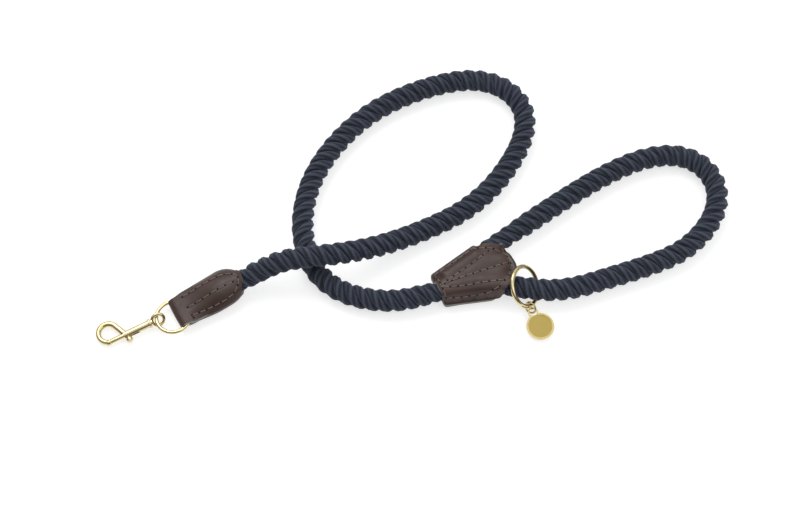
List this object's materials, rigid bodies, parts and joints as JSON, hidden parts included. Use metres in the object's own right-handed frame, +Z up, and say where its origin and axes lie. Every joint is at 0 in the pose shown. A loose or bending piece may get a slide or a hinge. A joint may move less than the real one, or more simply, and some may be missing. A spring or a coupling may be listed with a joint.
{
  "type": "lead rope",
  "caption": "Navy laid-rope hand lead lying in a loop, with stitched brown leather at its joints, a pale gold swivel bolt snap and a ring with a plain round tag",
  "frame": {"origin": "on the surface that the lead lies on, under the middle of the box round the leather and metal pieces", "axes": "+Z up; +X from the snap towards the hand loop; +Y from the tag towards the top of the big loop"},
  "size_m": [0.4508, 0.219, 0.0335],
  "materials": {
    "navy_rope": "laid cotton yarn",
    "brown_leather": "smooth, satin",
    "thread": "waxed",
    "pale_gold": "polished plating",
    "spring_steel": "bright wire"
  },
  "bodies": {
    "root": {"rope": "navy_rope", "tab_leather": "brown_leather", "tab_filler": "brown_leather", "tab_edge_stitching": "thread", "tab_centre_stitching": "thread", "tab_whipping": "thread", "joint_leather_bottom": "brown_leather", "joint_leather_top": "brown_leather", "joint_edge_stitching": "thread", "joint_fan_stitching": "thread"},
    "snap_ring": {"snap_ring": "pale_gold"},
    "swivel_eye": {"swivel_eye": "pale_gold"},
    "snap_body": {"snap_body": "pale_gold", "bolt_spring": "spring_steel"},
    "snap_bolt": {"snap_bolt": "pale_gold", "thumb_stud": "pale_gold"},
    "handle_ring": {"handle_ring": "pale_gold"},
    "tag_link": {"tag_link": "pale_gold"},
    "tag": {"tag": "pale_gold"}
  },
  "joints": [
    {"name": "ring_turn", "type": "hinge", "parent": "root", "child": "snap_ring", "pos_m": [-0.10665, -0.01629, 0.0046], "axis": [0, 0, 1], "range_deg": [-60, 60]},
    {"name": "eye_swing", "type": "hinge", "parent": "snap_ring", "child": "swivel_eye", "pos_m": [-0.118, -0.0187, 0.0046], "axis": [-0.2079, 0.9781, 0], "range_deg": [0, 100]},
    {"name": "snap_swivel", "type": "hinge", "parent": "swivel_eye", "child": "snap_body", "pos_m": [-0.118, -0.0187, 0.0046], "axis": [0.8955, 0.4406, 0.0628], "continuous": true},
    {"name": "bolt_slide", "type": "slide", "parent": "snap_body", "child": "snap_bolt", "axis": [0.8955, 0.4406, 0.0628], "range_m": [0, 0.0075], "stiffness_N_per_m": 150, "springref_m": -0.01, "deforming": ["bolt_spring"]},
    {"name": "handle_ring_turn", "type": "hinge", "parent": "root", "child": "handle_ring", "pos_m": [0.141, 0.0039, 0.01224], "axis": [-0.9728, 0.2317, 0], "range_deg": [0, 35]},
    {"name": "link_swing", "type": "hinge", "parent": "handle_ring", "child": "tag_link", "pos_m": [0.14428, -0.00799, 0.0054], "axis": [-0.6379, -0.5088, 0.5781], "range_deg": [0, 30]},
    {"name": "tag_swing", "type": "hinge", "parent": "tag_link", "child": "tag", "pos_m": [0.14675, -0.01219, 0.00298], "axis": [-0.6807, 0.0212, -0.7323], "range_deg": [0, 16]}
  ]
}
